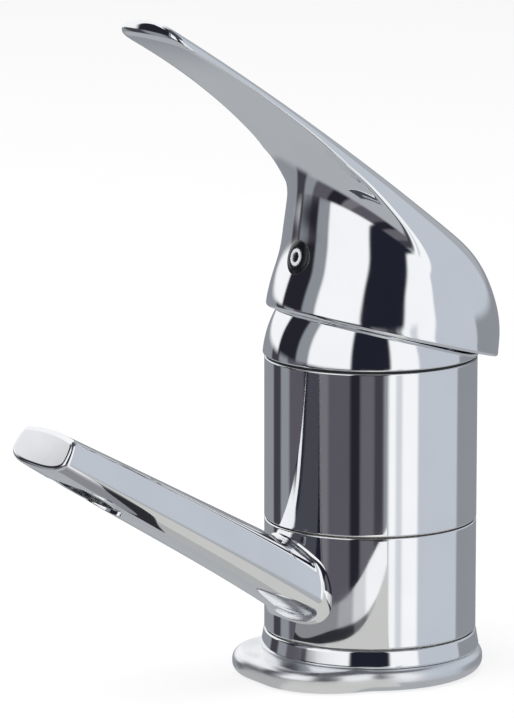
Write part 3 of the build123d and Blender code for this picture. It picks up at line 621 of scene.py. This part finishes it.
def handle_points(columns=320):
    """Rows are sections that fan from the slanted rim, about a line in front of the body,
    to square across the blade, and then move out along it.  In each section, and round
    the tip, rays leave a middle point by the angles of an ellipse and stop on the
    surface.  Below, a half circle turns the rim in, and a half ellipsoid is the hollow."""
    angle = np.linspace(0, 2 * np.pi, columns, endpoint=False)
    cross = np.array([1.0, 0, 0])
    across, rising = np.cos(angle)[:, None], np.sin(angle)[:, None]
    fan = np.linspace(FAN_TURN[0] + FAN_MARGIN, FAN_TURN[1], FAN_ROWS)
    left = (FAN_TURN[1] - fan) / (FAN_TURN[1] - FAN_TURN[0])
    from_line = FAN_REACH[0] + FAN_REACH[1] * left ** 3
    out_y = np.linspace(FAN_Y + FAN_REACH[0] * np.cos(FAN_TURN[1]), TIP_FAN_Y,
                        BLADE_ROWS)[1:]
    out_z = (TOP[0] + UNDER[0] + (TOP[1] + UNDER[1]) * out_y
             + (TOP[2] + UNDER[2]) * out_y ** 2) / 2
    rows_out = np.ones(len(out_y))
    y = np.concatenate([[RIM_MIDDLE_Y + N_Y * RIM_UP], FAN_Y + from_line * np.cos(fan), out_y])
    z = np.concatenate([[SLANT_Z - SLANT * RIM_MIDDLE_Y + N_Z * RIM_UP],
                        FAN_Z + from_line * np.sin(fan), out_z])
    turn = np.concatenate([[FAN_TURN[0]], fan, FAN_TURN[1] * rows_out])
    low = np.concatenate([[RAYS_AT_RIM], RAYS_LOW[0] + RAYS_LOW[1] * left ** 2,
                          RAYS_LOW[0] * rows_out])
    wide = np.concatenate([[RAYS_AT_RIM], np.linspace(RAYS_AT_RIM, RAYS_WIDE, FAN_ROWS),
                           RAYS_WIDE * rows_out])
    start = np.stack([0 * y, y, z], -1)[:, None, :]
    upward = np.stack([0 * turn, np.cos(turn), np.sin(turn)], -1)[:, None, :]
    ray = wide[:, None, None] * across * cross + low[:, None, None] * rising * upward
    ray = ray / np.linalg.norm(ray, axis=-1, keepdims=True)
    body = reach(handle_field, np.broadcast_to(start, ray.shape), ray)

    forward = np.array([0, -np.sin(FAN_TURN[1]), np.cos(FAN_TURN[1])])
    bow = np.linspace(0, np.pi / 2, TIP_ROWS)[1:-1, None, None]
    tip_ray = (np.cos(bow) * (TIP_RAYS[0] * across * cross + TIP_RAYS[1] * rising * upward[-1])
               + TIP_RAYS[2] * np.sin(bow) * forward)
    tip_ray = tip_ray / np.linalg.norm(tip_ray, axis=-1, keepdims=True)
    tip = reach(handle_field, np.broadcast_to(start[-1], tip_ray.shape), tip_ray)
    pole = reach(handle_field, start[-1], forward[None, :])[0]

    rim_up = np.array([0, N_Y, N_Z])
    rim_along = np.array([0, N_Z, -N_Y])
    hollow_low = np.array([0, 0, SLANT_Z]) + rim_up * RIM_UP + rim_along * HOLLOW_SHIFT
    inner = hollow_low + HOLLOW_R * (across * cross + rising * rim_along)
    halfway, reach_out = (body[0] + inner) / 2, (body[0] - inner) / 2
    bend = np.linspace(0, np.pi, RIM_ROWS)[1:-1, None, None]
    size = np.linalg.norm(reach_out, axis=-1, keepdims=True)
    lip = halfway + np.cos(bend) * reach_out - np.sin(bend) * size * rim_up
    dome = np.linspace(0, np.pi / 2, HOLLOW_ROWS)[:-1, None, None]
    rise = (HOLLOW_HEIGHT - RIM_UP) * rim_up
    hollow = hollow_low + np.cos(dome) * (inner - hollow_low) + np.sin(dome) * rise
    return np.concatenate([tip[::-1], body[::-1], lip, hollow]), pole, hollow_low + rise


SMOOTH_ALL_OVER = 180.0

lever_grid, tip_pole, hollow_pole = handle_points()
lever = skin("lever_handle_casting", lever_grid, chrome, "lever",
             tip_pole, hollow_pole, SMOOTH_ALL_OVER)
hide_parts("handle")


# Index plug
# A glossy dark button pressed into the screw hole in front of the skirt, with
# a pale ring moulded into its middle.  It stands just proud of the chrome.
PLUG_Z = 96.0
PLUG_R = 4.0
WALL_BEND_R = 25.4
PLUG_PROFILE = ((3.93, -1.5), (3.93, -0.1), (3.9, 0.02), (3.8, 0.09), (3.6, 0.16), (3.3, 0.24),
                (2.9, 0.3), (2.5, 0.32), (2.2, 0.3), (2.05, 0.25), (1.95, 0.15), (1.2, 0.15),
                (1.1, 0.2), (0.95, 0.24), (0.7, 0.26), (0.3, 0.27))
INLAY_PROFILE = ((1.97, 0.1), (1.97, 0.3), (1.9, 0.4), (1.75, 0.45), (1.4, 0.45), (1.25, 0.4),
                 (1.18, 0.3), (1.18, 0.1))
FLOW_MM = 1.5
WEAR_MM = 0.4
ABS_ROUGHNESS = (0.1, 0.22)
WAVE_DEEP_MM = 0.02
BLACK_TONES = ("0E0F12", "17181C")
PALE_TONES = ("DCDDE0", "CDCED2")


def on_wall(profile, columns=96):
    """A profile of (radius, height) points, spun round the line that is square to the
    skirt's front, and bent back by x^2 / 2R to follow the wall."""
    level = np.array([[0, 0, PLUG_Z - PLUG_R], [0, 0, PLUG_Z + PLUG_R]])
    found = reach(handle_field, level, np.array([[0, -1.0, 0], [0, -1.0, 0]]))
    upward = (found[1] - found[0]) / np.linalg.norm(found[1] - found[0])
    out = np.array([0, -upward[2], upward[1]])
    angle = np.linspace(0, 2 * np.pi, columns, endpoint=False)[:, None]
    circle = np.cos(angle) * np.array([1.0, 0, 0]) + np.sin(angle) * upward
    radius, height = (np.array(profile)[:, k, None, None] for k in (0, 1))
    rows = found.mean(axis=0) + radius * circle + height * out
    return rows - out * rows[..., :1] ** 2 / (2 * WALL_BEND_R)


def moulded_abs(name, tones):
    """Moulded ABS: a hard gloss with a faint wave, and a slight change of tone where the
    melt met.  Both are drawn coarser than on a real plug, so that they show at all."""
    material, tree, surface = blank_material(name)
    where = node(tree, "ShaderNodeTexCoord").outputs["Object"]
    flow = node(tree, "ShaderNodeTexNoise", {"Vector": where}, {"Scale": 1000 / FLOW_MM})
    tone = node(tree, "ShaderNodeMix", {0: flow.outputs["Fac"]},
                {6: linear(tones[0]), 7: linear(tones[1])}, data_type="RGBA")
    wear = node(tree, "ShaderNodeTexNoise", {"Vector": where}, {"Scale": 1000 / WEAR_MM})
    gloss = node(tree, "ShaderNodeMapRange", {"Value": wear.outputs["Fac"]},
                 {"From Min": NOISE_LOW, "From Max": NOISE_HIGH,
                  "To Min": ABS_ROUGHNESS[0], "To Max": ABS_ROUGHNESS[1]})
    wave = node(tree, "ShaderNodeBump", {"Height": flow.outputs["Fac"]},
                {"Strength": 0.4, "Distance": WAVE_DEEP_MM / 1000})
    shader = node(tree, "ShaderNodeBsdfPrincipled", {
        "Base Color": tone.outputs[2], "Roughness": gloss.outputs["Result"],
        "Normal": wave.outputs["Normal"]})
    tree.links.new(shader.outputs["BSDF"], surface)
    return material


button_grid = on_wall(PLUG_PROFILE)
button = skin("index_plug_moulding", button_grid, moulded_abs("black_abs", BLACK_TONES),
              "lever", button_grid[0].mean(axis=0), button_grid[-1].mean(axis=0))
inlay = skin("index_ring_inlay", on_wall(INLAY_PROFILE),
             moulded_abs("pale_grey_abs", PALE_TONES), "lever")
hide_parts("index_plug")
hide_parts("index_plug")


# Inner parts
# What the tap holds inside keeps its own shape and gets the finish that the
# real piece has: machined brass, stainless steel, lapped alumina ceramic,
# moulded rubber and acetal in two shades, with chrome on the aerator's housing.
def plain_stuff(name, tones, patch_mm, roughness, metal, grain_mm, grain_deep_mm):
    """A finish with two tones in patches, a roughness that wanders with them, and the
    grain of its cut, ground or moulded surface, drawn coarser than the real one, which
    is too fine to show."""
    material, tree, surface = blank_material(name)
    where = node(tree, "ShaderNodeTexCoord").outputs["Object"]
    patch = node(tree, "ShaderNodeTexNoise", {"Vector": where}, {"Scale": 1000 / patch_mm})
    tone = node(tree, "ShaderNodeMix", {0: patch.outputs["Fac"]},
                {6: linear(tones[0]), 7: linear(tones[1])}, data_type="RGBA")
    haze = node(tree, "ShaderNodeMapRange", {"Value": patch.outputs["Fac"]},
                {"From Min": NOISE_LOW, "From Max": NOISE_HIGH,
                 "To Min": roughness[0], "To Max": roughness[1]})
    grain = node(tree, "ShaderNodeTexNoise", {"Vector": where}, {"Scale": 1000 / grain_mm})
    relief = node(tree, "ShaderNodeBump", {"Height": grain.outputs["Fac"]},
                  {"Strength": 0.5, "Distance": grain_deep_mm / 1000})
    shader = node(tree, "ShaderNodeBsdfPrincipled", {
        "Base Color": tone.outputs[2], "Roughness": haze.outputs["Result"],
        "Normal": relief.outputs["Normal"]}, {"Metallic": metal})
    tree.links.new(shader.outputs["BSDF"], surface)
    return material


# Brass is a warm yellow with a satin sheen from the tool, stainless steel a neutral
# grey, rubber dull and nearly black, acetal waxy, in off-white or dark grey, and lapped
# alumina an even ivory with a low gloss.  Each row has the tones, the size of the
# patches, the roughness, the metallic share, and the grain's size and depth, in mm.
brass = plain_stuff("machined_brass", ("C9A75C", "B48F45"), 8.0, (0.25, 0.4), 1.0, 0.6, 0.01)
steel = plain_stuff("stainless_steel", ("B9BBBD", "A6A9AC"), 6.0, (0.22, 0.35), 1.0, 0.4, 0.006)
rubber = plain_stuff("epdm_rubber", ("1B1C1E", "26282A"), 3.0, (0.6, 0.8), 0.0, 0.5, 0.02)
acetal = plain_stuff("white_acetal", ("E4E2DA", "D6D4CB"), 5.0, (0.35, 0.5), 0.0, 0.5, 0.008)
alumina = plain_stuff("lapped_alumina", ("ECEAE4", "DDDAD2"), 6.0, (0.12, 0.2), 0.0, 0.3, 0.004)
grey_acetal = plain_stuff("grey_acetal", ("2A2C30", "34373B"), 4.0, (0.35, 0.5), 0.0, 0.4, 0.01)

FINISHES = (
    (brass, ("valve_body", "cartridge_nut", "cartridge_spindle")),
    (steel, ("retaining_circlip", "swivel_stop_pin", "spindle_pivot_pin",
             "handle_grub_screw")),
    (rubber, ("base_gasket", "lower_spout_seal", "upper_spout_seal", "aerator_gasket",
              "cartridge_port_seals", "cap_seat_ring")),
    (acetal, ("lower_glide_ring", "upper_glide_ring", "aerator_regulator",
              "cartridge_rotor", "disc_carrier")),
    (alumina, ("fixed_ceramic_disc", "moving_ceramic_disc")),
    (grey_acetal, ("aerator_insert", "cartridge_base", "cartridge_housing")),
    (chrome, ("aerator_housing",)),
)
for finish, names in FINISHES:
    for name in names:
        cad_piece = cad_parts[name]
        cad_piece.data.materials.clear()
        cad_piece.data.materials.append(finish)


# Studio
# A pale table with soft lamps, inside a painted bowl that only the chrome
# mirrors: the pale and dark boards of a photo studio, with soft edges.  Its
# sizes are in metres, those of the camera and of the bands in millimetres.
CAMERA_PLACE = (911.9, -615.1, 278.25)
CAMERA_TURN = np.radians(56.0) + 0.0233
CAMERA_DIP = 0.1863
FOCAL_PIXELS = 4970.1
PICTURE_HEIGHT = 718
SENSOR_MM = 36.0
FARTHEST = 50.0

camera_data = bpy.data.cameras.new("photo_camera")
camera_data.sensor_width = SENSOR_MM
camera_data.lens = SENSOR_MM * FOCAL_PIXELS / PICTURE_HEIGHT
camera_data.clip_end = FARTHEST
camera = bpy.data.objects.new("photo_camera", camera_data)
bpy.context.scene.collection.objects.link(camera)
camera.location = Vector(CAMERA_PLACE) / 1000
looking = Vector((-np.sin(CAMERA_TURN) * np.cos(CAMERA_DIP),
                  np.cos(CAMERA_TURN) * np.cos(CAMERA_DIP), -np.sin(CAMERA_DIP)))
camera.rotation_mode = "QUATERNION"
camera.rotation_quaternion = looking.to_track_quat("-Z", "Y")
bpy.context.scene.camera = camera


def stage_sheet(name, grid, material):
    """An open sheet of the studio from a grid of points, rows by columns, in metres."""
    rows, columns = grid.shape[:2]
    here = np.arange(rows * columns).reshape(rows, columns)
    quad = np.stack([here[:-1, :-1], here[:-1, 1:], here[1:, 1:], here[1:, :-1]], -1)
    mesh = bpy.data.meshes.new(name)
    mesh.from_pydata(grid.reshape(-1, 3).tolist(), [], quad.reshape(-1, 4).tolist())
    mesh.materials.append(material)
    sheet = bpy.data.objects.new(name, mesh)
    bpy.context.scene.collection.objects.link(sheet)
    return sheet


TABLE_HALF = 6.0
TABLE_Z = -0.0001
TABLE_TONES = ("F2F2F2", "F6F6F6")
TABLE_PATCH_MM = 40.0
TABLE_WHITE_SHARE = 0.8


def table_material():
    """Matt white laminate that keeps a soft shadow: mostly plain white to the camera."""
    material, tree, surface = blank_material("white_table")
    where = node(tree, "ShaderNodeTexCoord").outputs["Object"]
    patch = node(tree, "ShaderNodeTexNoise", {"Vector": where},
                 {"Scale": 1000 / TABLE_PATCH_MM})
    tone = node(tree, "ShaderNodeMix", {0: patch.outputs["Fac"]},
                {6: linear(TABLE_TONES[0]), 7: linear(TABLE_TONES[1])}, data_type="RGBA")
    matt = node(tree, "ShaderNodeBsdfDiffuse", {"Color": tone.outputs[2]})
    white = node(tree, "ShaderNodeEmission", None, {"Color": (1, 1, 1, 1), "Strength": 1.0})
    path = node(tree, "ShaderNodeLightPath")
    share = node(tree, "ShaderNodeMath", {0: path.outputs["Is Camera Ray"]},
                 {1: TABLE_WHITE_SHARE}, operation="MULTIPLY")
    mix = node(tree, "ShaderNodeMixShader", {0: share.outputs[0], 1: matt.outputs[0],
                                             2: white.outputs[0]})
    tree.links.new(mix.outputs[0], surface)
    return material


table_x, table_y = np.meshgrid((-TABLE_HALF, TABLE_HALF), (-TABLE_HALF, TABLE_HALF))
table = stage_sheet("table", np.stack([table_x, table_y, 0 * table_x + TABLE_Z], -1),
                    table_material())
table.visible_glossy = False

# Each row of boards is a turn and a shade.  The turn is where that board ends, in
# degrees from the camera's side towards the right of the picture.  The low boards end
# near the horizon, as seen from the tap, and the high ones stand over them.  An edge
# is the pair of heights, in degrees, between which one part melts into the next.
BOWL_R = 1.4
BOWL_MIDDLE_Z = 0.06
BOWL_GRID = (145, 73)
CAMERA_SIDE = np.radians(-34.0)
SOFT_EDGE = 1.6
COAL, IRON, SLATE, STONE, CLOUD, PEARL, SNOW = (
    "26252E", "434148", "5B5860", "8F9298", "A9ADB3", "C2C8D0", "FDFDFE")
LOW_BOARDS = (
    (-129, STONE), (-113, IRON), (-98, STONE), (-76, SLATE), (-58, COAL), (-46, "77747A"),
    (-22, SLATE), (-11, COAL), (4, "66646B"), (14, IRON), (19, STONE), (27, SNOW),
    (34, "D6D9DE"), (52, SNOW), (107, PEARL), (180, STONE))
HIGH_BOARDS = (
    (-117, SNOW), (-86, COAL), (-70, STONE), (-21, SNOW), (21, "20222D"), (52, SNOW),
    (150, PEARL), (180, CLOUD))
FLOOR_BOARDS = ((180, "ADB0B3"),)
CEILING_BOARDS = ((180, "4A4A52"),)
STRIP_BOARDS = ((180, SNOW),)
LOW_EDGE = (-24.0, -17.0)
HIGH_EDGE = (-2.0, 3.0)
CEILING_EDGE = (50.0, 58.0)
STRIP_TURNS = (-130, -102)
STRIP_HEIGHTS = (38, 47)
STRIP_R = 1.3


def turn_ramp(tree, boards):
    """A ramp of shades round the tap, from boards of (last turn in degrees, shade).  A
    turn stands at turn / 360 + 0.5 on the ramp, with a soft edge to both sides."""
    where = node(tree, "ShaderNodeTexCoord").outputs["Object"]
    turned_to = node(tree, "ShaderNodeMapping", {"Vector": where},
                     {"Rotation": (0.0, 0.0, -CAMERA_SIDE)})
    turn = node(tree, "ShaderNodeTexGradient", {"Vector": turned_to.outputs["Vector"]},
                gradient_type="RADIAL")
    ramp = node(tree, "ShaderNodeValToRGB", {"Fac": turn.outputs["Fac"]})
    stops = ramp.color_ramp.elements
    stops[0].color, stops[1].color = linear(boards[0][1]), linear(boards[-1][1])
    for board, following in zip(boards, boards[1:]):
        stops.new((board[0] - SOFT_EDGE) / 360 + 0.5).color = linear(board[1])
        stops.new((board[0] + SOFT_EDGE) / 360 + 0.5).color = linear(following[1])
    return ramp.outputs["Color"]


def glowing(name, boards):
    """Paint that glows at its own shade, which changes round the tap."""
    material, tree, surface = blank_material(name)
    glow = node(tree, "ShaderNodeEmission", {"Color": turn_ramp(tree, boards)},
                {"Strength": 1.0})
    tree.links.new(glow.outputs[0], surface)
    return material


def bowl_paint():
    """Paint that glows at its own shade: the floor, the low boards, the high boards and
    the ceiling, mixed by height."""
    material, tree, surface = blank_material("studio_bowl_paint")
    where = node(tree, "ShaderNodeTexCoord").outputs["Object"]
    height = node(tree, "ShaderNodeSeparateXYZ", {"Vector": where}).outputs["Z"]
    colour = turn_ramp(tree, FLOOR_BOARDS)
    for boards, edge in ((LOW_BOARDS, LOW_EDGE), (HIGH_BOARDS, HIGH_EDGE),
                         (CEILING_BOARDS, CEILING_EDGE)):
        level = BOWL_MIDDLE_Z + BOWL_R * np.sin(np.radians(edge))
        over = node(tree, "ShaderNodeMapRange", {"Value": height},
                    {"From Min": level[0], "From Max": level[1]},
                    interpolation_type="SMOOTHSTEP")
        mixed = node(tree, "ShaderNodeMix", {0: over.outputs["Result"], 6: colour,
                                             7: turn_ramp(tree, boards)}, data_type="RGBA")
        colour = mixed.outputs[2]
    glow = node(tree, "ShaderNodeEmission", {"Color": colour}, {"Strength": 1.0})
    tree.links.new(glow.outputs[0], surface)
    return material


def mirrored_only(sheet):
    """Keeps a studio sheet out of the picture and out of the lighting."""
    sheet.visible_camera = False
    sheet.visible_diffuse = False
    sheet.visible_shadow = False


def bowl_patch(name, first, last, low, high, radius, material):
    """Part of a bowl round the tap, between two turns from the camera's side and two
    heights over the horizon, in degrees: r (cos h cos t, cos h sin t, sin h)."""
    turn, rise = np.meshgrid(
        np.radians(np.linspace(first, last, BOWL_GRID[0])) + CAMERA_SIDE,
        np.radians(np.linspace(low, high, BOWL_GRID[1])))
    point = np.stack([np.cos(rise) * np.cos(turn), np.cos(rise) * np.sin(turn),
                      np.sin(rise)], -1)
    mirrored_only(stage_sheet(name, radius * point + (0, 0, BOWL_MIDDLE_Z), material))


bowl_patch("studio_bowl", -180, 180, -90, 90, BOWL_R, bowl_paint())
bowl_patch("strip_light", *STRIP_TURNS, *STRIP_HEIGHTS, STRIP_R,
           glowing("strip_light_paint", STRIP_BOARDS))

# Paper and a painted shadow of the spout lie on the table in front of the foot, in bands round
# the tap.  Each row has a turn in degrees and the radii, in millimetres, where the pale paper
# ends, where the painted shadow ends and where the outer white paper ends.  A polynomial of the
# fourth degree in the turn is fitted to each column and gives the bands' edges.
BANDS = ((-75, 56, 68, 98), (-46, 63, 73, 102), (-38, 66, 77, 105), (-18, 72, 85, 119),
         (0, 100, 106, 155), (10, 118, 120, 176), (17, 150, 151, 190))
BAND_DEGREE = 4
BAND_ROWS, BAND_COLUMNS = 9, 93
PAPER_FROM = 26.0
PALE_PAPER = ((-40, "B2B2B2"), (180, "CBCBC8"))
# Painted shadow: the spout's shadow on the table, as the chrome mirrors it. It is dark on the
# spout's side and pales towards the right.
SPOUT_SHADOW_TONES = ((-14, "2E2E33"), (-2, "6A6A6C"), (6, "A8A8A8"), (180, "D0D0CE"))
OUTER_PAPER = ((-30, "8C8C90"), (-16, "A8A8AC"), (-4, "D8D8DA"), (180, "FAFAFB"))
measured_turn = [row[0] for row in BANDS]
band_turn = np.linspace(measured_turn[0], measured_turn[-1], BAND_COLUMNS)


def floor_band(name, inner, outer, material):
    """A band on the table between two radii that change with the turn:
    inner + (outer - inner) times the share of its width."""
    share = np.linspace(0, 1, BAND_ROWS)[:, None]
    turn = np.radians(band_turn) + CAMERA_SIDE
    radius = (inner + (outer - inner) * share) / 1000
    sheet = stage_sheet(name, np.stack([radius * np.cos(turn), radius * np.sin(turn),
                                        0 * radius], -1), material)
    mirrored_only(sheet)


paper_end, shadow_end, outer_end = (
    np.polyval(np.polyfit(measured_turn, [row[k] for row in BANDS], BAND_DEGREE), band_turn)
    for k in (1, 2, 3))
floor_band("pale_paper", PAPER_FROM, paper_end, glowing("pale_paper_paint", PALE_PAPER))
# The band between the pale paper and the outer paper is a glowing sheet that paints the spout's
# shadow on the table.
floor_band("painted_spout_shadow", paper_end, shadow_end, glowing("painted_spout_shadow_paint", SPOUT_SHADOW_TONES))
floor_band("outer_paper", shadow_end, outer_end, glowing("outer_paper_paint", OUTER_PAPER))


LAMP_TARGET = (0, 0, 0.07)
LAMP_ABOVE = ((0.2, -0.4, 1.2), 1.0, 14.0)
LAMP_BESIDE = ((-0.9, -0.6, 0.8), 0.8, 6.0)
LEAST_WORLD_LIGHT = 0.55


def lamp(name, spot, size, watts):
    """A square soft lamp that points at the middle of the tap."""
    data = bpy.data.lights.new(name, "AREA")
    data.size = size
    data.energy = watts
    made = bpy.data.objects.new(name, data)
    bpy.context.scene.collection.objects.link(made)
    made.location = spot
    made.rotation_mode = "QUATERNION"
    made.rotation_quaternion = (Vector(LAMP_TARGET) - Vector(spot)).to_track_quat("-Z", "Y")
    made.visible_glossy = False


lamp("lamp_above", *LAMP_ABOVE)
lamp("lamp_beside", *LAMP_BESIDE)

world = bpy.data.worlds.new("studio_white")
bpy.context.scene.world = world
world.use_nodes = True
sky = world.node_tree
sky.nodes.clear()
path = node(sky, "ShaderNodeLightPath")
seen = node(sky, "ShaderNodeMath", {0: path.outputs["Is Camera Ray"],
                                    1: path.outputs["Is Glossy Ray"]}, operation="MAXIMUM")
strength = node(sky, "ShaderNodeMapRange", {"Value": seen.outputs[0]},
                {"To Min": LEAST_WORLD_LIGHT, "To Max": 1.0})
backdrop = node(sky, "ShaderNodeBackground", {"Strength": strength.outputs["Result"]},
                {"Color": (1, 1, 1, 1)})
node(sky, "ShaderNodeOutputWorld", {"Surface": backdrop.outputs[0]})
bpy.context.scene.view_settings.view_transform = "Standard"
